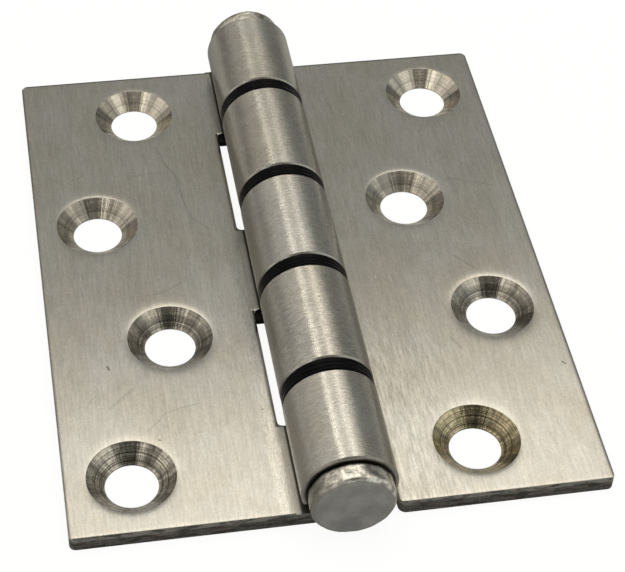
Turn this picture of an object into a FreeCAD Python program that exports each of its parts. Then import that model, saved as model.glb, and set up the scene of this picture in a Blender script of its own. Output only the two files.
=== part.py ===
import FreeCAD, Part
import math
import os

os.makedirs("parts", exist_ok=True)

# Butt hinge with rolled knuckles, laid open flat with the barrel upwards.
# Millimetres. X runs across the leaves, Y along the pin, Z is up.
# The backs of both leaves lie on z = 0 and the origin is under the middle.

# Leaves
LEAF_LENGTH = 100.0       # along the pin
OPEN_WIDTH = 81.0         # over both leaves
SHEET = 2.5               # thickness of the sheet
CORNER_R = 1.0            # outer corners of the leaves
INNER_CORNER_R = 1.2      # free corners of the right leaf beside the end knuckles
EDGE_BREAK = 0.2          # broken top edge of the sheared outline
NOTCH_R = 0.9             # corners of the notches beside the knuckles

# Barrel
BARREL_DIA = 14.4
CURL_END_DEG = 201.0      # where the rolled sheet stops, from the +X side
NOTCH_GAP = 0.5           # barrel to the cut-back edge of the leaf beside it
END_KNUCKLE = 16.7        # first and fifth knuckle, on the left leaf
RIGHT_KNUCKLE = 19.2      # second and fourth knuckle, on the right leaf
KNUCKLE_BREAK = 0.25      # small chamfer round the knuckle ends

# Pin
PIN_PLAY = 0.05           # radial, in the knuckles
HEAD_STEP = 0.75          # barrel stands this far beyond the head all round
HEAD_THICK = 3.4
HEAD_FACE_R = 0.9         # rounding at the outer face of the head
HEAD_BACK = 0.7           # chamfer where the head meets the knuckle

# Washers
WASHER_SPACE = 2.5        # between neighbouring knuckles
WASHER_PLAY = 0.1         # on the side where the other leaf turns
WASHER_STEP = 0.05        # washer is this much smaller in radius than the barrel
WASHER_BORE_PLAY = 0.1    # radial, round the pin
TAB_DEPTH = 1.0           # locating tab below the leaf's top face
TAB_PLAY = 0.05           # tab to the leaf's edge

# Screw holes, in a zigzag
HOLE_DIA = 8.0
SINK_DIA = 13.4
SINK_LAND = 0.2           # straight part left under the cone
HOLE_END = 10.25          # end of the leaf to the first hole
HOLE_EDGE = 10.0          # outer edge of the leaf to the outer holes
HOLE_ZIGZAG = 8.9         # inner holes are this much nearer the pin
HOLES = 4                 # in each leaf

# Derived sizes
R = BARREL_DIA / 2
BORE_R = R - SHEET
PIN_R = BORE_R - PIN_PLAY
HEAD_R = R - HEAD_STEP
HALF_WIDTH = OPEN_WIDTH / 2
HALF_LENGTH = LEAF_LENGTH / 2
NOTCH_EDGE = R + NOTCH_GAP
CENTRE_KNUCKLE = LEAF_LENGTH - 2 * END_KNUCKLE - 2 * RIGHT_KNUCKLE - 4 * WASHER_SPACE
HOLE_PITCH = (LEAF_LENGTH - 2 * HOLE_END) / (HOLES - 1)
OUTER_COLUMN = HALF_WIDTH - HOLE_EDGE
INNER_COLUMN = OUTER_COLUMN - HOLE_ZIGZAG

V = FreeCAD.Vector
ALONG_Y = V(0, 1, 0)

# Knuckles as (low y, high y), the first one at the far end
knuckles = []
top = HALF_LENGTH
for length in (END_KNUCKLE, RIGHT_KNUCKLE, CENTRE_KNUCKLE, RIGHT_KNUCKLE, END_KNUCKLE):
    knuckles.append((top - length, top))
    top -= length + WASHER_SPACE


def rolled_section(y):
    """Sheet that runs in under the pin and rolls over it, drawn at one y."""
    end = math.radians(CURL_END_DEG)
    middle = (end - math.pi / 2) / 2

    def on_circle(radius, angle):
        return V(radius * math.cos(angle), y, R + radius * math.sin(angle))

    outer = Part.Arc(V(0, y, 0), on_circle(R, middle), on_circle(R, end))
    inner = Part.Arc(on_circle(BORE_R, end), on_circle(BORE_R, middle), V(0, y, SHEET))
    back = Part.makeLine(V(-NOTCH_EDGE, y, 0), V(0, y, 0))
    cut = Part.makeLine(on_circle(R, end), on_circle(BORE_R, end))
    face = Part.makeLine(V(0, y, SHEET), V(-NOTCH_EDGE, y, SHEET))
    side = Part.makeLine(V(-NOTCH_EDGE, y, SHEET), V(-NOTCH_EDGE, y, 0))
    wire = Part.Wire([back, outer.toShape(), cut, inner.toShape(), face, side])
    return Part.Face(wire)


def end_break(y, inward):
    """Ring that takes the sharp corner off a knuckle's end."""
    size = KNUCKLE_BREAK
    corner = [V(R - size, y, R), V(R + size, y, R), V(R + size, y + inward * 2 * size, R)]
    profile = Part.Face(Part.makePolygon(corner + corner[:1]))
    return profile.revolve(V(0, 0, R), ALONG_Y, 360)


def knuckle(low, high):
    body = rolled_section(low).extrude(V(0, high - low, 0))
    return body.cut(end_break(low, 1)).cut(end_break(high, -1))


def plate():
    """Flat part of the left leaf, outer corners rounded, top edge broken."""
    sheet = Part.makeBox(HALF_WIDTH - NOTCH_EDGE, LEAF_LENGTH, SHEET,
                         V(-HALF_WIDTH, -HALF_LENGTH, 0))
    corners = [e for e in sheet.Edges
               if abs(e.BoundBox.ZLength - SHEET) < 1e-6 and e.BoundBox.XMax < -NOTCH_EDGE - 1]
    sheet = sheet.makeFillet(CORNER_R, corners)
    rim = [e for e in sheet.Edges
           if e.BoundBox.ZMin > SHEET - 1e-6 and e.BoundBox.XMin < -NOTCH_EDGE - 1e-3]
    return sheet.makeChamfer(EDGE_BREAK, rim)


def screw_hole(x, y):
    through = Part.makeCylinder(HOLE_DIA / 2, SHEET + 2, V(x, y, -1))
    cone = Part.makeCone(HOLE_DIA / 2, SINK_DIA / 2, SHEET - SINK_LAND, V(x, y, SINK_LAND))
    return through.fuse(cone)


def leaf(spans, first_column):
    """Left-hand leaf with knuckles over the given spans of y."""
    body = plate()
    for low, high in spans:
        body = body.fuse(knuckle(low, high))
    body = body.removeSplitter()
    inner = [e for e in body.Edges
             if abs(e.BoundBox.ZLength - SHEET) < 1e-3 and e.BoundBox.XLength < 1e-3
             and abs(e.BoundBox.XMin + NOTCH_EDGE) < 1e-3
             and abs(e.BoundBox.YMin) < HALF_LENGTH - 1]
    body = body.makeFillet(NOTCH_R, inner)
    free = [e for e in body.Edges
            if e.BoundBox.ZLength > SHEET / 2 and e.BoundBox.XLength < 1e-3
            and abs(e.BoundBox.XMin + NOTCH_EDGE) < 1e-3
            and abs(e.BoundBox.YMin) > HALF_LENGTH - 1e-3]
    if free:
        body = body.makeFillet(INNER_CORNER_R, free)
    columns = (first_column, INNER_COLUMN + OUTER_COLUMN - first_column)
    for row in range(HOLES):
        y = HALF_LENGTH - HOLE_END - row * HOLE_PITCH
        body = body.cut(screw_hole(-columns[row % 2], y))
    return body


def half_turn(shape):
    """Left-hand leaf becomes the right-hand one, seen from above."""
    turned = shape.copy()
    turned.rotate(V(0, 0, 0), V(0, 0, 1), 180)
    return turned


def washer(high, side):
    """Washer hung under the knuckle that ends at y = high, tab towards side."""
    thick = WASHER_SPACE - WASHER_PLAY
    radius = R - WASHER_STEP
    disc = Part.makeCylinder(radius, thick, V(0, high - thick, R), ALONG_Y)
    reach = NOTCH_EDGE - TAB_PLAY
    tab = Part.makeBox(reach - BORE_R, thick, TAB_DEPTH, V(-reach, high - thick, SHEET - TAB_DEPTH))
    corner = [e for e in tab.Edges
              if abs(e.BoundBox.ZLength - TAB_DEPTH) < 1e-6
              and e.BoundBox.XMax < -reach + 1e-3 and e.BoundBox.YMin > high - 1e-3]
    tab = tab.makeFillet(NOTCH_R + TAB_PLAY, corner)
    if side > 0:
        tab = tab.mirror(V(0, 0, 0), V(1, 0, 0))
    bore = Part.makeCylinder(PIN_R + WASHER_BORE_PLAY, thick + 2, V(0, high - thick - 1, R), ALONG_Y)
    return disc.fuse(tab).cut(bore).removeSplitter()


def pin_head(y, outward):
    head = Part.makeCylinder(HEAD_R, HEAD_THICK, V(0, y, R), V(0, outward, 0))
    face = y + outward * HEAD_THICK
    front = [e for e in head.Edges if e.Closed and abs(e.BoundBox.YMin - face) < 1e-3]
    head = head.makeFillet(HEAD_FACE_R, front)
    back = [e for e in head.Edges
            if e.Closed and abs(e.BoundBox.YMin - y) < 1e-3 and abs(e.BoundBox.YMax - y) < 1e-3]
    return head.makeChamfer(HEAD_BACK, back)


def pin():
    shaft = Part.makeCylinder(PIN_R, LEAF_LENGTH + 2, V(0, -HALF_LENGTH - 1, R), ALONG_Y)
    return shaft.fuse([pin_head(HALF_LENGTH, 1), pin_head(-HALF_LENGTH, -1)]).removeSplitter()


left_leaf = leaf([knuckles[0], knuckles[2], knuckles[4]], INNER_COLUMN)
right_spans = [(-high, -low) for low, high in (knuckles[1], knuckles[3])]
right_leaf = half_turn(leaf(right_spans, INNER_COLUMN))

pieces = {"left_leaf": left_leaf, "right_leaf": right_leaf, "pin": pin()}
for number in range(4):
    side = -1 if number % 2 == 0 else 1
    pieces["washer_%d" % (number + 1)] = washer(knuckles[number][0], side)

for name, shape in pieces.items():
    shape.exportStep("parts/%s.step" % name)
    box = shape.BoundBox
    print(name, shape.isValid(), len(shape.Solids), round(shape.Volume, 1),
          [round(v, 2) for v in (box.XMin, box.XMax, box.YMin, box.YMax, box.ZMin, box.ZMax)])
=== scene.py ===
import math
from types import SimpleNamespace

import bmesh
import bpy
from mathutils import Euler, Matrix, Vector, noise

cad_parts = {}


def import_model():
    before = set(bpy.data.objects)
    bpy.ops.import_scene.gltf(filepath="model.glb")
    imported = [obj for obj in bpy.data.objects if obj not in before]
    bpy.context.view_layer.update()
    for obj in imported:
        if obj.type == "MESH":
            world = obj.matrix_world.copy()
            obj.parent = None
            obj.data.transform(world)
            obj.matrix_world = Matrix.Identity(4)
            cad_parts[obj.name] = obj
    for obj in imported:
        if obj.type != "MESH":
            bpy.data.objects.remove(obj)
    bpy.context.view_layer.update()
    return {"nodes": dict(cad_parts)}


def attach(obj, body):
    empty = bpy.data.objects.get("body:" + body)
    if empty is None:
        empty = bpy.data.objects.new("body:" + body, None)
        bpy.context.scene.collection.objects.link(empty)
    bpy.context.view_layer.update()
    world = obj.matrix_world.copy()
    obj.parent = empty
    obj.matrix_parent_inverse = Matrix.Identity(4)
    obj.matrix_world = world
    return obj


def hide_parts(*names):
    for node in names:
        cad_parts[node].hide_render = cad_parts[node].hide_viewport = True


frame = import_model()
MM = 0.001

# Sizes of the hinge, in millimetres, as the solids have them
SHEET = 2.5
HALF_LENGTH = 50.0
HALF_WIDTH = 40.5
EDGE_BREAK = 0.2
BARREL_R = 7.2
NOTCH_EDGE = 7.7
BORE_R = 4.7
PIN_R = 4.65
HEAD_R = 6.45
HEAD_THICK = 3.4
HEAD_FACE_R = 0.9
HEAD_BACK = 0.7
WASHER_THICK = 2.4
WASHER_R = 7.15
WASHER_BORE_R = 4.75
TAB_REACH = 7.65
TAB_DEPTH = 1.0
TAB_CORNER_R = 0.95
SINK_R = 6.7
FIRST_ROW = 39.75
PITCH = 26.5
INNER_COLUMN = 21.6
OUTER_COLUMN = 30.5

# The spaces between the knuckles, as distances from the middle of the pin
INNER_SPACE = (9.1, 11.6)
OUTER_SPACE = (30.8, 33.3)
WASHER_TOPS = (OUTER_SPACE[1], INNER_SPACE[1], -INNER_SPACE[0], -OUTER_SPACE[0])

# Dents in the heads of the pin: how many in a millimetre, and how deep
DENTS_PER_MM = 0.55
PITS_PER_MM = 1.5
RIM_DENT = 0.16
RIM_PIT = 0.05
FACE_DENT = 0.07
FACE_PIT = 0.05

# The far head's rim is worn down: flats as (degrees round it, sharpness, depth), and a slope
FAR_FLATS = ((42, 6, 0.10), (130, 8, 0.32))
FAR_SLOPE = 0.45
FAR_SLOPE_START = 0.6
FAR_SLOPE_RUN = 2.6

# Soft edges and the two turned grooves of the washers
WASHER_EDGE_R = 0.32
WASHER_BORE_EDGE_R = 0.12
GROOVE_INSET = 0.85
GROOVE_DEPTH = 0.09
GROOVE_HALF = 0.16
GROOVE_FLOOR_HALF = 0.05
TAB_SOFT = 0.14
TAB_CHAMFER = 0.2

TURN_STEPS = 144
CORNER_STEPS = 8
SHARP_DEG = 40

# Scratches as lines of (x, y), with half their width and how dark they are; a darkness below nought makes
# a lighter spot, a painted glint
LEFT_MARKS = (
    (((-18.7, 31.3), (-17.6, 26.3), (-16.3, 23.7), (-15.7, 17.4), (-14.9, 13.0), (-12.3, 10.1)),
     0.13, 0.20),
    (((-23.9, 24.3), (-19.8, 24.6), (-16.5, 24.4)), 0.12, 0.14),
    (((-26.4, -3.9), (-21.8, -3.6), (-18.4, -1.8)), 0.14, 0.12),
    (((-25.8, -4.9), (-16.6, -1.0)), 0.10, 0.08),
    (((-27.2, -31.6), (-25.5, -30.1), (-24.2, -28.5), (-21.9, -27.8), (-18.4, -27.1)), 0.13, 0.18),
    (((-32.2, -26.4), (-28.2, -22.8)), 0.45, 0.10),
    (((-31.9, -18.0), (-31.7, -18.7)), 0.28, 0.45),
    (((-35.4, -25.3), (-34.7, -24.1)), 0.15, 0.16),
    (((-35.4, 1.2), (-35.0, 3.3)), 0.12, 0.14),
    (((-17.3, 2.6), (-15.9, 5.4)), 0.12, 0.12),
    (((-37.3, 25.5), (-34.4, 22.6), (-30.7, 22.6), (-27.0, 23.8)), 0.12, 0.08),
    (((-25.7, -33.5), (-25.5, -33.6)), 0.20, 0.50),
    (((-9.5, -29.6), (-9.4, -29.8)), 0.16, 0.40),
    (((-31.9, 7.3), (-32.9, 2.0)), 1.7, 0.045),
    (((-26.5, -20.0), (-31.0, -22.5)), 1.5, 0.04),
)
RIGHT_MARKS = (
    (((29.6, 17.3), (37.6, 14.3)), 0.13, 0.18),
    (((26.7, -1.2), (30.0, -5.0)), 0.14, 0.22),
    (((31.0, 5.9), (38.5, 4.5)), 0.10, 0.07),
    (((22.3, -19.2), (23.4, -21.4)), 0.40, 0.12),
    (((38.6, -26.4), (38.9, -26.9)), 0.25, 0.45),
    # Two lighter spots: painted glints
    (((15.1, 35.7), (15.15, 35.6)), 0.18, -0.45),
    (((13.0, -4.4), (13.05, -4.5)), 0.18, -0.45),
)

# Soft boxes that face straight down: name, centre, width, depth, radiance (1 shows as white)
PANELS = (
    ("ceiling", (0.12, 0.22, 0.60), 0.60, 0.54, 0.80),
    ("back", (0.10, -0.14, 0.60), 0.80, 0.17, 0.80),
    ("tube", (-0.135, 0.22, 0.59), 0.045, 0.54, 2.2),
    ("window", (0.165, 0.20, 0.59), 0.12, 0.50, 1.35),
)
PANEL_COLOUR = (1.0, 0.935, 0.79)

# Camera, in metres, degrees and millimetres of a 36 mm sensor
CAMERA_PLACE = (-0.04308, -0.21126, 0.22227)
CAMERA_TURN = (43.7889, -2.4787, -9.8844)
SENSOR_WIDTH = 36.0
FOCAL_LENGTH = 108.65

# The floor, in metres, lies just under the leaves; how much of its light is glow
FLOOR_SIZE = 6.0
FLOOR_Z = -0.00002
FLOOR_GLOW = 1.14
FLOOR_GLOW_SEEN = 0.82
FLOOR_GLOW_MIRRORED = 0.15
FLOOR_NEAR = (0.13, 0.06)


def grey(value, warm=0.0):
    return (value * (1 + warm), value, value * (1 - 1.6 * warm), 1.0)


SHEET_COOL = grey(0.65, 0.02)
SHEET_WARM = grey(0.60, 0.05)
# Painted shade for the barrel's flanks
BARREL_PAINTED_SHADE = grey(0.10, 0.02)
BEVEL_DARK = grey(0.12, 0.03)
# Painted shade for the leaf under the barrel's curl
UNDER_BARREL_PAINTED_SHADE = grey(0.10, 0.03)
# Dark and light wedges of painted reflection in the countersinks
SINK_PAINTED_SHADE = grey(0.34, 0.06)
SINK_PAINTED_SHEEN = grey(0.74, 0.07)
SINK_LINE = grey(0.06, 0.05)
SINK_GROOVE = grey(0.16, 0.05)
SINK_OIL = (1.06, 0.97, 0.72, 1.0)
EDGE_SMOOTH = grey(0.34, 0.03)
EDGE_TORN = grey(0.17, 0.04)
EDGE_SCORES = grey(0.44, 0.04)
EDGE_DRAWN = grey(0.40, 0.06)
EDGE_BLOTCH = grey(0.06, 0.07)
EDGE_GRIT = grey(0.10, 0.04)
CURL_LIGHT = grey(0.42, 0.05)
CURL_DARK = grey(0.26, 0.05)
# Painted shadow in the gap between a pin head and the knuckle's end
HEAD_GAP_PAINTED_SHADOW = grey(0.04, 0.03)
RIM_DARK = grey(0.40, 0.04)
RIM_LIGHT = grey(0.84, 0.04)
# Painted shade for the lower and left side of the heads' rims
RIM_PAINTED_SHADE = grey(0.24, 0.04)
RIM_PITS = grey(0.30, 0.05)
FACE_DARK = grey(0.31, 0.005)
FACE_LIGHT = grey(0.41, 0.01)
FACE_RING = grey(0.2)
HEAD_PITS = grey(0.15, 0.04)
NYLON_DARK = (0.0015, 0.0015, 0.002, 1.0)
NYLON_LIGHT = (0.003, 0.003, 0.005, 1.0)
FLOOR_DARK = (0.54, 0.54, 0.53, 1.0)
FLOOR_LIGHT = (0.57, 0.57, 0.56, 1.0)


class Graph:
    """Short names for the shader nodes that the materials below are made of."""

    def __init__(self, name, world=False):
        if world:
            self.owner = bpy.data.worlds.new(name)
        else:
            self.owner = bpy.data.materials.new(name)
        self.owner.use_nodes = True
        self.tree = self.owner.node_tree
        self.tree.nodes.clear()

    def node(self, kind, inputs=(), **settings):
        made = self.tree.nodes.new(kind)
        for key, value in settings.items():
            setattr(made, key, value)
        for key, value in dict(inputs).items():
            self.put(made.inputs[key], value)
        return made

    def put(self, socket, value):
        if isinstance(value, bpy.types.NodeSocket):
            self.tree.links.new(value, socket)
        elif value is not None:
            socket.default_value = value

    def math(self, operation, *values, clamp=False):
        inputs = dict(enumerate(values))
        return self.node("ShaderNodeMath", inputs, operation=operation, use_clamp=clamp).outputs[0]

    def times(self, first, *others):
        for value in others:
            first = self.math("MULTIPLY", first, value)
        return first

    def plus(self, first, *others):
        for value in others:
            first = self.math("ADD", first, value)
        return first

    def minus(self, first, second):
        return self.math("SUBTRACT", first, second)

    def size(self, value):
        return self.math("ABSOLUTE", value)

    def most(self, first, second):
        return self.math("MAXIMUM", first, second)

    def least(self, first, second):
        return self.math("MINIMUM", first, second)

    def step(self, value, low, high, start=0.0, end=1.0):
        """Goes smoothly from start to end while value goes from low to high."""
        inputs = {0: value, 1: low, 2: high, 3: start, 4: end}
        made = self.node("ShaderNodeMapRange", inputs, interpolation_type="SMOOTHSTEP")
        return made.outputs[0]

    def outside(self, mask):
        return self.step(mask, 0.6, 0.4)

    def fade(self, distance, reach):
        """1 at no distance or less, and falling off beyond."""
        return self.math("EXPONENT", self.math("DIVIDE", self.most(distance, 0.0), -reach))

    def vector(self, operation, *values):
        made = self.node("ShaderNodeVectorMath", dict(enumerate(values)), operation=operation)
        single = operation in ("LENGTH", "DISTANCE", "DOT_PRODUCT")
        return made.outputs["Value" if single else "Vector"]

    def join(self, x, y, z):
        return self.node("ShaderNodeCombineXYZ", {0: x, 1: y, 2: z}).outputs[0]

    def split(self, value):
        return self.node("ShaderNodeSeparateXYZ", {0: value}).outputs

    def scaled(self, value, factors):
        return self.vector("MULTIPLY", value, factors)

    def coordinates(self, name):
        return self.node("ShaderNodeTexCoord").outputs[name]

    def millimetres(self):
        inputs = {0: self.coordinates("Object"), "Scale": 1 / MM}
        return self.node("ShaderNodeVectorMath", inputs, operation="SCALE").outputs["Vector"]

    def noise(self, where, scale=1.0, detail=2.0, rough=0.5):
        inputs = {"Vector": where, "Scale": scale, "Detail": detail, "Roughness": rough}
        return self.node("ShaderNodeTexNoise", inputs).outputs["Fac"]

    def grain(self, where, factors, detail=2.0, rough=0.5):
        """Noise that is drawn out along the axes with the small factors."""
        return self.noise(self.scaled(where, factors), 1.0, detail, rough)

    def mix(self, factor, first, second):
        made = self.node("ShaderNodeMix", {0: factor}, data_type="FLOAT")
        self.put(made.inputs[2], first)
        self.put(made.inputs[3], second)
        return made.outputs[0]

    def tint(self, factor, first, second, blend="MIX"):
        made = self.node("ShaderNodeMix", {0: factor}, data_type="RGBA", blend_type=blend)
        self.put(made.inputs[6], first)
        self.put(made.inputs[7], second)
        return made.outputs[2]

    def turn(self, factor, first, second):
        made = self.node("ShaderNodeMix", {0: factor}, data_type="VECTOR")
        self.put(made.inputs[4], first)
        self.put(made.inputs[5], second)
        return made.outputs[1]

    def shaded(self, colour, level):
        return self.tint(1.0, colour, self.join(level, level, level), "MULTIPLY")

    def lined(self, colour, pattern, low, high, share, line):
        """Mixes a share of line into colour where pattern is low."""
        return self.tint(self.step(pattern, low, high), self.tint(share, colour, line), colour)

    def marks(self, flat, lines):
        """How much darker the scratched lines make the sheet, from 0 to 1; a depth below nought gives a
        lighter spot instead, a painted glint.
        """
        total = 0.0
        for points, width, depth in lines:
            nearest = None
            for start, end in zip(points, points[1:]):
                run = Vector((end[0] - start[0], end[1] - start[1], 0.0))
                offset = self.vector("SUBTRACT", flat, (start[0], start[1], 0.0))
                share = self.vector("DOT_PRODUCT", offset, tuple(run / run.length_squared))
                share = self.math("ADD", share, 0.0, clamp=True)
                along = self.vector("MULTIPLY", self.join(share, share, share), tuple(run))
                apart = self.vector("DISTANCE", offset, along)
                nearest = apart if nearest is None else self.least(nearest, apart)
            total = self.plus(total, self.step(nearest, width, width * 0.2, 0.0, 1.35 * depth))
        return total

    def surface(self, colour, rough, height, others):
        """Material with a bump whose height is in millimetres."""
        bump = self.node("ShaderNodeBump", {"Height": height, "Strength": 1.0, "Distance": MM})
        inputs = {"Base Color": colour, "Roughness": rough, "Normal": bump.outputs[0]}
        inputs.update(others)
        return self.finish(self.node("ShaderNodeBsdfPrincipled", inputs).outputs[0])

    def finish(self, shader, kind="ShaderNodeOutputMaterial"):
        self.node(kind, {0: shader})
        return self.owner


def leaf_places(g, side):
    """Where a point lies on a leaf, and what kind of surface is there."""
    at = SimpleNamespace(side=side, place=g.millimetres())
    at.x, at.y, at.z = g.split(at.place)
    at.nx, at.ny, at.nz = g.split(g.coordinates("Normal"))
    at.ax = g.size(at.x)
    at.ay = g.size(at.y)

    # Nearest screw hole: every row lies one pitch on, in the other column
    rows = g.math("DIVIDE", g.minus(FIRST_ROW, at.y), PITCH)
    at.row = g.math("ROUND", rows)
    along = g.times(g.minus(at.row, rows), PITCH)
    odd = g.math("MODULO", g.size(at.row), 2.0)
    columns = (INNER_COLUMN, OUTER_COLUMN) if side < 0 else (OUTER_COLUMN, INNER_COLUMN)
    across = g.minus(at.x, g.times(g.mix(odd, *columns), float(side)))
    at.out = g.join(across, along, 0.0)
    at.radius = g.vector("LENGTH", at.out)
    at.angle = g.math("ARCTAN2", along, across)

    # Masks, which are 1 on the surface that they are named after
    over_sheet = g.step(at.z, SHEET, SHEET + 0.2)
    at.barrel = g.times(g.step(at.ax, BARREL_R + 0.35, BARREL_R + 0.15), over_sheet)
    sloping = g.step(g.size(at.nz), 0.97, 0.9)
    at.sink = g.times(g.step(at.radius, SINK_R + 0.03, SINK_R - 0.03), sloping)
    at.flat_top = g.times(g.outside(at.sink), g.outside(at.barrel))
    facing = g.size(at.ny)
    at.outer_end = g.times(g.step(facing, 0.5, 0.65), g.step(at.ay, 49.5, 49.6))
    end_face = g.most(g.step(facing, 0.85, 0.95), at.outer_end)
    side_face = g.times(g.step(g.size(at.nx), 0.6, 0.8), g.outside(at.barrel))
    at.cut = g.times(g.most(end_face, side_face), g.outside(at.sink))
    at.bevel = g.times(at.barrel, g.step(facing, 0.35, 0.55), g.step(facing, 0.9, 0.8))

    # Patch of the right leaf near the camera where the grain stands out more
    at.worked = 0.0
    if side > 0:
        at.worked = g.times(g.step(at.x, 24.0, 12.0), g.step(at.y, -8.0, -24.0))
    return at


def brushed(g, at):
    """Brush lines, which run along the pin on the leaf and round the barrel."""
    flat_lines = g.grain(at.place, (5.0, 0.05, 1.0), 3.0, 0.65)
    round_lines = g.grain(at.place, (0.08, 6.0, 0.08), 3.0, 0.6)
    brush = SimpleNamespace(lines=g.mix(at.barrel, flat_lines, round_lines))
    brush.smear = g.grain(at.place, (0.5, 0.12, 0.5), 4.0, 0.6)
    brush.streak = g.grain(at.place, (3.0, 0.28, 3.0), 3.0, 0.75)
    brush.round_streak = g.grain(at.place, (0.9, 4.6, 0.9), 3.0, 0.7)
    broad = g.grain(at.place, (0.35, 0.02, 0.35))
    cloud = g.noise(at.place, 0.10, 4.0, 0.6)
    speck = g.noise(at.place, 3.4, 3.0, 0.8)

    fleck = g.minus(g.mix(at.barrel, brush.streak, brush.round_streak), 0.5)
    swing = g.mix(at.worked, g.mix(at.barrel, 0.33, 0.46), 0.80)
    tone = g.times(g.mix(brush.smear, 0.93, 1.05), g.mix(brush.lines, 0.93, 1.07),
                   g.mix(broad, 0.95, 1.05), g.mix(speck, 0.66, 1.34),
                   g.math("MULTIPLY_ADD", g.times(fleck, swing), 2.0, 1.0))
    brush.colour = g.shaded(g.tint(g.step(cloud, 0.35, 0.65), SHEET_COOL, SHEET_WARM), tone)
    return brush


def turned_sinks(g, at):
    """Countersinks with turned rings, chatter and a broken groove, clearer near the camera, over light and
    dark wedges that are painted reflection.
    """
    cone = SimpleNamespace()
    cone.rings = g.noise(g.join(g.times(at.radius, 3.2), g.times(at.row, 7.3), 0.0), 1.0, 4.0, 0.7)
    fine_rings = g.noise(g.join(g.times(at.radius, 7.5), at.row, g.times(at.angle, 0.4)), 1.0, 1.0)
    round_hole = g.join(g.math("COSINE", at.angle), g.math("SINE", at.angle), g.times(at.row, 3.7))
    cone.wedges = g.noise(round_hole, 2.6, 4.0, 0.65)
    outwards = g.join(0.0, 0.0, g.times(at.radius, 1.3))
    spokes = g.vector("ADD", g.scaled(round_hole, (9.0, 9.0, 1.0)), outwards)
    cone.chatter = g.noise(spokes, 1.0, 3.0, 0.7)
    groove = g.times(g.step(g.size(g.minus(at.radius, 5.05)), 0.10, 0.02),
                     g.step(g.noise(round_hole, 1.3, 1.0), 0.42, 0.55))

    crisp = g.step(at.y, 34.0, -34.0, 0.30, 1.0)
    ring_share = g.times(g.mix(g.step(at.radius, 6.0, 5.1), 0.40, 0.82), crisp)
    # Light and dark wedges round each hole are painted reflection, turned at random in each hole; the
    # rings, chatter and groove are the metal's own marks
    colour = g.tint(g.step(cone.wedges, 0.38, 0.60), SINK_PAINTED_SHADE, SINK_PAINTED_SHEEN)
    colour = g.lined(colour, cone.rings, 0.42, 0.49, ring_share, SINK_LINE)
    colour = g.lined(colour, cone.chatter, 0.44, 0.54, g.times(crisp, 0.40), SINK_LINE)
    colour = g.lined(colour, fine_rings, 0.40, 0.54, g.times(crisp, 0.50), SINK_LINE)
    cone.colour = g.tint(g.times(groove, 0.6), colour, SINK_GROOVE)
    if at.side > 0:
        oily = g.step(at.y, -30.0, -34.0, 0.0, 0.9)
        cone.colour = g.tint(oily, cone.colour, SINK_OIL, "MULTIPLY")
    return cone


def sheared_edge(g, at):
    """Cut edges with a smooth band above a torn one, and the end of the rolled sheet, with a painted
    shadow in the gap round each pin head.
    """
    edge = SimpleNamespace()
    tear_line = g.plus(1.55, g.times(g.noise(at.place, 0.35), 0.5))
    edge.torn = g.times(at.cut, g.step(g.minus(at.z, tear_line), 0.12, -0.12))
    edge.grit = g.grain(at.place, (3.0, 3.0, 1.2), 3.0)
    scores = g.grain(at.place, (2.4, 2.4, 0.25), 4.0, 0.7)
    blotch = g.grain(at.place, (0.28, 0.28, 1.3), 4.0, 0.7)
    drawn = g.grain(at.place, (0.12, 0.12, 3.6))

    colour = g.tint(edge.torn, EDGE_SMOOTH, EDGE_TORN)
    for pattern, low, high, share, tone in (
            (scores, 0.45, 0.62, 0.28, EDGE_SCORES),
            (drawn, 0.45, 0.60, 0.55, EDGE_DRAWN),
            (blotch, 0.46, 0.58, 0.80, EDGE_BLOTCH)):
        colour = g.tint(g.times(g.step(pattern, low, high), share), colour, tone)
    colour = g.tint(g.times(edge.grit, 0.4), colour, EDGE_GRIT)

    curl_end = g.times(at.barrel, g.step(at.z, 2.4, 3.0))
    colour = g.tint(curl_end, colour, g.tint(edge.grit, CURL_LIGHT, CURL_DARK))
    # Painted shadow on the knuckle's end face close round the pin's head
    from_pin = g.vector("LENGTH", g.join(at.x, 0.0, g.minus(at.z, BARREL_R)))
    head_gap_shadow = g.times(curl_end, at.outer_end, g.step(from_pin, 6.85, 6.5))
    edge.colour = g.tint(head_gap_shadow, colour, HEAD_GAP_PAINTED_SHADOW)
    return edge


def barrel_painted_shade(g, at):
    """Painted shade on the barrel's flanks: how much darker they are, more so low down and on the right.
    """
    left = g.times(g.step(at.nz, 0.88, 0.68), g.step(at.y, -22.0, -40.0, 0.26, 0.04))
    right = g.step(at.nz, 0.95, 0.72, 0.0, 0.34)
    shade = g.mix(g.step(at.nx, -0.2, 0.2), left, right)
    shade = g.most(shade, g.step(at.nz, 0.85, 0.05, 0.0, 0.74))
    return g.times(at.barrel, g.step(at.nz, -0.5, -0.3), shade)


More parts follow.
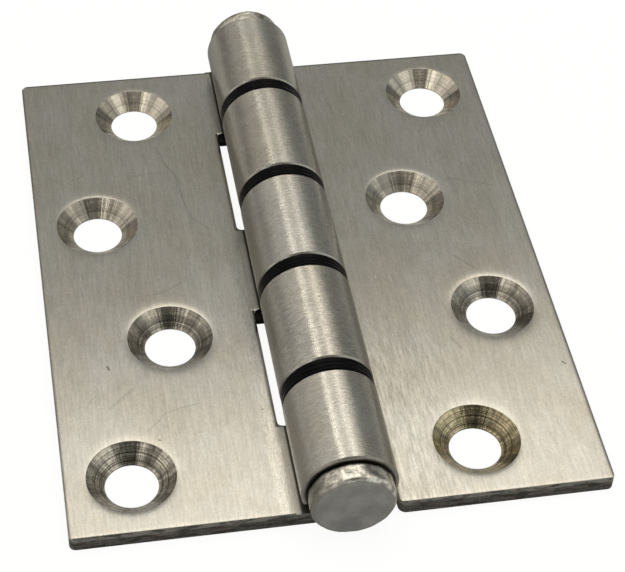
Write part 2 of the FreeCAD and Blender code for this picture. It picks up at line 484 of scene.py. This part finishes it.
def leaf_height(g, at, brush, cone, edge):
    """Bump of a leaf, in millimetres, where the sheet rolls off a little at its rims."""
    if at.side < 0:
        notch = g.times(g.step(at.ay, INNER_SPACE[0] - 0.2, INNER_SPACE[0] + 0.2),
                        g.step(at.ay, OUTER_SPACE[1] + 0.2, OUTER_SPACE[1] - 0.2))
    else:
        notch = g.most(g.step(at.ay, OUTER_SPACE[0] - 0.2, OUTER_SPACE[0] + 0.2),
                       g.step(at.ay, INNER_SPACE[1] + 0.2, INNER_SPACE[1] - 0.2))
    to_edge = g.least(g.minus(HALF_LENGTH - EDGE_BREAK, at.ay), g.minus(HALF_WIDTH - EDGE_BREAK, at.ax))
    by_sink = g.times(g.fade(g.minus(at.radius, SINK_R), 0.55), -0.065)
    by_notch = g.times(g.fade(g.minus(at.ax, NOTCH_EDGE), 0.16), notch, -0.10)
    by_edge = g.times(g.fade(to_edge, 0.16), -0.10)
    height = g.times(g.plus(by_sink, by_notch, by_edge), at.flat_top)

    height = g.plus(height, g.times(brush.lines, 0.0030))
    waves = g.grain(at.place, (0.16, 0.10, 0.16))
    for pattern, mask, depth in (
            (cone.rings, at.sink, 0.03),
            (cone.wedges, at.sink, 0.14),
            (cone.chatter, at.sink, 0.02),
            (edge.grit, at.cut, 0.06),
            (waves, at.barrel, 0.12),
            (brush.round_streak, at.barrel, 0.030),
            (brush.streak, at.flat_top, g.mix(at.worked, 0.012, 0.030))):
        height = g.plus(height, g.times(pattern, mask, depth))
    return height


def leaf_steel(name, side):
    """Brushed sheet; side is -1 for the left leaf and 1 for the right one."""
    g = Graph(name)
    at = leaf_places(g, side)
    brush = brushed(g, at)
    cone = turned_sinks(g, at)
    edge = sheared_edge(g, at)

    colour = g.tint(at.sink, brush.colour, cone.colour)
    # Painted shade darkens the barrel's flanks, low down and on the right
    colour = g.tint(barrel_painted_shade(g, at), colour, BARREL_PAINTED_SHADE)
    colour = g.tint(at.cut, colour, edge.colour)
    colour = g.tint(g.times(at.bevel, 0.12), colour, BEVEL_DARK)
    # Painted shade on the leaf's top where it runs in under the barrel's curl
    under = g.times(g.step(at.ax, 7.0, 6.75), g.step(at.z, SHEET + 0.15, SHEET + 0.05))
    colour = g.tint(g.times(under, g.step(at.nz, 0.8, 0.95)), colour, UNDER_BARREL_PAINTED_SHADE)
    # Scratches darken the sheet; the spots with a depth below nought are painted glints
    scratch_and_glint_level = g.marks(g.join(at.x, at.y, 0.0), LEFT_MARKS if side < 0 else RIGHT_MARKS)
    colour = g.shaded(colour, g.minus(1.0, scratch_and_glint_level))

    rough = g.plus(g.mix(brush.smear, 0.25, 0.36), g.mix(brush.lines, -0.03, 0.03))
    if side < 0:
        by_barrel = g.times(g.step(at.ax, 11.0, 8.2), g.step(at.ax, 7.5, 7.9))
        rough = g.times(rough, g.mix(by_barrel, 1.0, 0.55))
    rough = g.mix(at.sink, rough, g.mix(cone.rings, 0.18, 0.32))
    rough = g.times(rough, g.mix(at.barrel, 1.0, 0.88))
    rough = g.mix(at.cut, rough, g.mix(edge.torn, 0.42, 0.62))
    rough = g.mix(at.bevel, rough, 0.35)

    # The highlight is drawn out across the brush lines
    direction = g.turn(at.barrel, (1.0, 0.0, 0.0), (0.0, 1.0, 0.0))
    direction = g.turn(at.sink, direction, g.vector("NORMALIZE", at.out))
    tangent = g.node("ShaderNodeVectorTransform", {0: direction}, vector_type="VECTOR",
                     convert_from="OBJECT", convert_to="WORLD").outputs[0]
    return g.surface(colour, rough, leaf_height(g, at, brush, cone, edge),
                     {"Metallic": 1.0, "Anisotropic": 0.85, "Tangent": tangent})


def pin_steel():
    """Dull face with faint rings, and a beaten rim with painted shade on its lower and left side."""
    g = Graph("pin_steel")
    place = g.millimetres()
    nx, ny, nz = g.split(g.coordinates("Normal"))
    cloud = g.noise(place, 0.35, 3.0)
    dents = g.noise(place, 0.7, 2.0, 0.45)
    fine = g.noise(place, 3.0, 3.0, 0.7)
    pits = g.step(g.noise(place, 1.1), 0.30, 0.24)

    rim = g.tint(g.step(dents, 0.38, 0.58), RIM_DARK, RIM_LIGHT)
    # Painted shade on the lower and left side of the rim
    below = g.step(g.plus(nz, g.times(nx, 0.60)), 0.75, -0.15)
    rim = g.tint(below, rim, RIM_PAINTED_SHADE)
    rim = g.tint(g.times(g.step(fine, 0.52, 0.38), 0.6), rim, RIM_PITS)

    from_axis = g.vector("SUBTRACT", place, g.join(0.0, g.split(place)[1], BARREL_R))
    rings = g.noise(g.join(g.times(g.vector("LENGTH", from_axis), 1.6), 0.0, 0.0), 1.0, 3.0, 0.7)
    dull = g.tint(g.step(cloud, 0.3, 0.7), FACE_DARK, FACE_LIGHT)
    dull = g.lined(dull, rings, 0.40, 0.60, 0.10, FACE_RING)

    face = g.step(g.size(ny), 0.93, 0.985)
    colour = g.tint(g.times(pits, 0.5), g.tint(face, rim, dull), HEAD_PITS)
    rough = g.mix(face, g.mix(fine, 0.26, 0.36), g.mix(cloud, 0.42, 0.55))
    height = g.plus(g.times(dents, 0.09), g.times(cloud, 0.12), g.times(fine, 0.006))
    return g.surface(colour, rough, height, {"Metallic": 1.0})


def washer_nylon():
    g = Graph("washer_nylon")
    place = g.millimetres()
    cloud = g.noise(place, 0.5, 3.0)
    lathe = g.grain(place, (0.2, 9.0, 0.2))
    colour = g.tint(cloud, NYLON_DARK, NYLON_LIGHT)
    rough = g.plus(g.mix(cloud, 0.20, 0.34), g.mix(lathe, -0.03, 0.03))
    return g.surface(colour, rough, g.times(lathe, 0.03), {"Specular IOR Level": 0.07})


def dress(node, material):
    for slot in frame["nodes"][node].material_slots:
        slot.material = material


def linked(name, data):
    """New object in the scene."""
    made = bpy.data.objects.new(name, data)
    bpy.context.scene.collection.objects.link(made)
    return made


def closed_mesh(name, points, faces):
    """Mesh whose faces all look outwards."""
    mesh = bpy.data.meshes.new(name)
    mesh.from_pydata(points, [], faces)
    work = bmesh.new()
    work.from_mesh(mesh)
    bmesh.ops.recalc_face_normals(work, faces=work.faces)
    work.to_mesh(mesh)
    work.free()
    return mesh


def smoothed(mesh):
    mesh.shade_smooth()
    mesh.set_sharp_from_angle(angle=math.radians(SHARP_DEG))
    return mesh


def strip(low, high, count):
    """Faces between two closed rows of count points that start at low and high."""
    faces = []
    for k in range(count):
        after = (k + 1) % count
        faces.append((low + k, low + after, high + after, high + k))
    return faces


def arc(centre_r, centre_y, radius, start, end, steps):
    """Points (r, y) on a small arc of a turned profile, angles in degrees."""
    angles = [math.radians(start + (end - start) * k / steps) for k in range(steps + 1)]
    return [(centre_r + radius * math.cos(a), centre_y + radius * math.sin(a)) for a in angles]


def turned_mesh(name, profile, ring=False, beaten=None):
    """Turns (r, y) points about the pin's line; a ring closes on itself."""
    points = []
    for r, y in profile:
        for k in range(TURN_STEPS):
            turn = 2 * math.pi * k / TURN_STEPS
            rr, yy = beaten(r, y, turn) if beaten else (r, y)
            z = BARREL_R + rr * math.sin(turn)
            points.append((rr * math.cos(turn) * MM, yy * MM, z * MM))
    faces = []
    rows = len(profile)
    for i in range(rows if ring else rows - 1):
        faces += strip(i * TURN_STEPS, (i + 1) % rows * TURN_STEPS, TURN_STEPS)
    if not ring:
        faces.append(tuple(reversed(range(TURN_STEPS))))
        faces.append(tuple(range((rows - 1) * TURN_STEPS, rows * TURN_STEPS)))
    return smoothed(closed_mesh(name, points, faces))


def beaten_head(r, y, turn):
    """Hammer marks on the heads, always inwards from the turned form."""
    out = abs(y) - HALF_LENGTH
    if out < 0.01 or r < 0.01:
        return r, y
    seed = 1.0 if y > 0 else 7.0
    spot = Vector((r * math.cos(turn), y, r * math.sin(turn)))
    dent = 0.5 + 0.5 * noise.noise(spot * DENTS_PER_MM + Vector((seed, 0, 0)))
    pit = 0.5 + 0.5 * noise.noise(spot * PITS_PER_MM + Vector((0, seed, 0)))
    share = min(1.0, r / HEAD_R) ** 3
    deep = (RIM_DENT * dent + RIM_PIT * pit) * share
    if y > 0:
        worn = 0.0
        for place, sharpness, depth in FAR_FLATS:
            worn += depth * max(0.0, math.cos(turn - math.radians(place))) ** sharpness
        slope = max(0.0, 1.0 - max(0.0, out - FAR_SLOPE_START) / FAR_SLOPE_RUN)
        deep += (worn + FAR_SLOPE * slope) * share
    face = min(1.0, max(0.0, (out - HEAD_THICK + HEAD_FACE_R) / HEAD_FACE_R))
    sunk = (FACE_DENT * dent + FACE_PIT * pit) * face
    return r - deep, y - math.copysign(sunk, y)


def pin_profile():
    """Both heads and the rod, with extra rows of points where the heads are beaten."""
    top = HALF_LENGTH + HEAD_THICK
    half = [(r, top) for r in (0.4, 1.3, 2.2, 3.1, 4.0, 4.8)]
    half += arc(HEAD_R - HEAD_FACE_R, top - HEAD_FACE_R, HEAD_FACE_R, 90, 0, 8)
    half += [(HEAD_R, HALF_LENGTH + HEAD_BACK + k) for k in (1.2, 0.6)]
    half += arc(HEAD_R - HEAD_BACK, HALF_LENGTH + HEAD_BACK, HEAD_BACK, 0, -90, 6)
    half += [(PIN_R, y) for y in (HALF_LENGTH, HALF_LENGTH - 0.4, 32.0, 10.4)]
    return half + [(r, -y) for r, y in reversed(half)]


def washer_profile(high):
    """Ring with soft edges and two grooves round it, from its top face at y = high."""
    low = high - WASHER_THICK
    edge, bore_edge = WASHER_EDGE_R, WASHER_BORE_EDGE_R
    floor_r = WASHER_R - GROOVE_DEPTH
    points = arc(WASHER_R - edge, high - edge, edge, 90, 0, 5)
    for middle in (high - GROOVE_INSET, low + GROOVE_INSET):
        points += [(WASHER_R, middle + GROOVE_HALF), (floor_r, middle + GROOVE_FLOOR_HALF),
                   (floor_r, middle - GROOVE_FLOOR_HALF), (WASHER_R, middle - GROOVE_HALF)]
    points += arc(WASHER_R - edge, low + edge, edge, 0, -90, 5)
    points += arc(WASHER_BORE_R + bore_edge, low + bore_edge, bore_edge, -90, -180, 2)
    points += arc(WASHER_BORE_R + bore_edge, high - bore_edge, bore_edge, 180, 90, 2)
    return points


def tab_outline(high, inset):
    """Outline of a washer's tab as (x, y), with one round corner and one cut one."""
    low = high - WASHER_THICK + inset
    high -= inset
    reach = TAB_REACH - inset
    corner = TAB_CORNER_R - inset
    outline = [(BORE_R, high)]
    for k in range(CORNER_STEPS + 1):
        turn = math.radians(90 - 90 * k / CORNER_STEPS)
        outline.append((reach - corner + corner * math.cos(turn), high - corner + corner * math.sin(turn)))
    return outline + [(reach, low + TAB_CHAMFER), (reach - TAB_CHAMFER, low), (BORE_R, low)]


def tab_mesh(name, high, side):
    """Tab that keeps the washer from turning, with soft edges."""
    bottom = SHEET - TAB_DEPTH
    layers = ((bottom, TAB_SOFT), (bottom + TAB_SOFT, 0.0), (SHEET - TAB_SOFT, 0.0), (SHEET, TAB_SOFT))
    points, faces = [], []
    for z, inset in layers:
        points += [(side * x * MM, y * MM, z * MM) for x, y in tab_outline(high, inset)]
    count = len(points) // len(layers)
    for i in range(len(layers) - 1):
        faces += strip(i * count, (i + 1) * count, count)
    faces.append(tuple(range(count)))
    faces.append(tuple(range(len(points) - count, len(points))))
    return closed_mesh(name, points, faces)


def joined(name, first, second):
    """One closed mesh from two that overlap."""
    holder = linked("holder", first)
    other = linked("other", second)
    union = holder.modifiers.new("union", "BOOLEAN")
    union.operation = "UNION"
    union.solver = "EXACT"
    union.object = other
    state = bpy.context.evaluated_depsgraph_get()
    mesh = bpy.data.meshes.new_from_object(holder.evaluated_get(state))
    mesh.name = name
    for item in (holder, other):
        bpy.data.objects.remove(item)
    return smoothed(mesh)


def placed(name, mesh, material, body, node):
    """Piece that moves with a body and is shown in place of a node's solid."""
    piece = linked(name, mesh)
    mesh.materials.clear()
    mesh.materials.append(material)
    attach(piece, body)
    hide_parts(node)


def hinge():
    nylon = washer_nylon()
    dress("left_leaf", leaf_steel("left_leaf_steel", -1))
    dress("right_leaf", leaf_steel("right_leaf_steel", 1))
    pin_mesh = turned_mesh("pin_form", pin_profile(), beaten=beaten_head)
    placed("pin_form", pin_mesh, pin_steel(), "left", "pin")
    for number, high in enumerate(WASHER_TOPS, 1):
        side, body = (-1, "left") if number % 2 else (1, "right")
        name = "washer_form_%d" % number
        ring = turned_mesh("ring", washer_profile(high), ring=True)
        mesh = joined(name, ring, tab_mesh("tab", high, side))
        placed(name, mesh, nylon, body, "washer_%d" % number)


def floor():
    """White sheet that glows for the camera, and a little where the steel mirrors it."""
    g = Graph("white_floor")
    place = g.coordinates("Object")
    white = g.tint(g.noise(place, 3.0), FLOOR_DARK, FLOOR_LIGHT)
    diffuse = g.node("ShaderNodeBsdfDiffuse", {"Color": white}).outputs[0]
    glow = g.node("ShaderNodeEmission", {"Color": (1, 1, 1, 1), "Strength": FLOOR_GLOW}).outputs[0]
    path = g.node("ShaderNodeLightPath").outputs
    near = g.step(g.vector("LENGTH", place), *FLOOR_NEAR)
    mirrored = g.most(path["Is Glossy Ray"], path["Is Transmission Ray"])
    mirrored = g.times(mirrored, near, FLOOR_GLOW_MIRRORED)
    share = g.most(g.times(path["Is Camera Ray"], FLOOR_GLOW_SEEN), mirrored)
    both = g.node("ShaderNodeMixShader", {0: share})
    g.put(both.inputs[1], diffuse)
    g.put(both.inputs[2], glow)
    bpy.ops.mesh.primitive_plane_add(size=FLOOR_SIZE, location=(0, 0, FLOOR_Z))
    plane = bpy.context.object
    plane.name = "floor"
    plane.data.materials.append(g.finish(both.outputs[0]))


def world():
    """Room that the steel mirrors: lighter on the left, and dark behind the camera but for
    a narrow bright strip on the left and a lighter side on the right."""
    g = Graph("room", world=True)
    dx, dy, dz = g.split(g.coordinates("Generated"))
    near_left = g.mix(g.step(dz, -0.1, 0.6), 0.40, 0.82)
    far_left = g.mix(g.step(dz, 0.0, 0.70), 0.03, 0.33)
    left = g.mix(g.step(dy, 0.56, 0.70), near_left, far_left)
    centre = g.mix(g.step(dx, 0.06, 0.30), 0.36, 0.29)
    right = g.mix(g.step(dy, 0.35, 0.62), 0.40, 0.12)
    level = g.mix(g.step(dx, -0.25, 0.02), left, centre)
    level = g.mix(g.step(dx, 0.40, 0.70), level, right)

    behind = 0.24
    for start, end, after in ((-0.58, -0.52, 1.5), (-0.44, -0.34, 0.02), (0.30, 0.55, 0.75)):
        behind = g.mix(g.step(dx, start, end), behind, after)
    level = g.mix(g.step(dy, 0.02, -0.12), level, behind)

    low_ahead = g.times(g.step(dy, 0.80, 0.90), g.step(dz, 0.50, 0.30))
    level = g.times(level, g.mix(low_ahead, 1.0, 0.35))
    low_behind = g.times(g.step(dy, 0.30, 0.10), g.step(dz, 0.50, 0.35))
    level = g.mix(low_behind, level, 0.85)
    shade = g.tint(g.step(dz, 0.0, 1.0), (0.96, 1.0, 0.92, 1.0), (1.0, 0.98, 0.88, 1.0))
    shade = g.tint(g.step(dx, -0.05, -0.40), shade, (1.03, 0.98, 0.86, 1.0))
    background = g.node("ShaderNodeBackground", {0: shade, 1: level}).outputs[0]
    bpy.context.scene.world = g.finish(background, "ShaderNodeOutputWorld")


def lamps():
    for name, centre, width, depth, radiance in PANELS:
        lamp = bpy.data.lights.new(name, "AREA")
        lamp.shape = "RECTANGLE"
        lamp.size = width
        lamp.size_y = depth
        lamp.energy = radiance * math.pi * width * depth
        lamp.color = PANEL_COLOUR
        linked(name, lamp).location = centre


def camera():
    data = bpy.data.cameras.new("camera")
    data.sensor_width = SENSOR_WIDTH
    data.lens = FOCAL_LENGTH
    data.clip_start = 0.01
    data.clip_end = 20.0
    made = linked("camera", data)
    made.location = CAMERA_PLACE
    made.rotation_euler = Euler([math.radians(v) for v in CAMERA_TURN], "XYZ")
    bpy.context.scene.camera = made


hinge()
floor()
world()
lamps()
camera()
bpy.context.scene.view_settings.view_transform = "Standard"
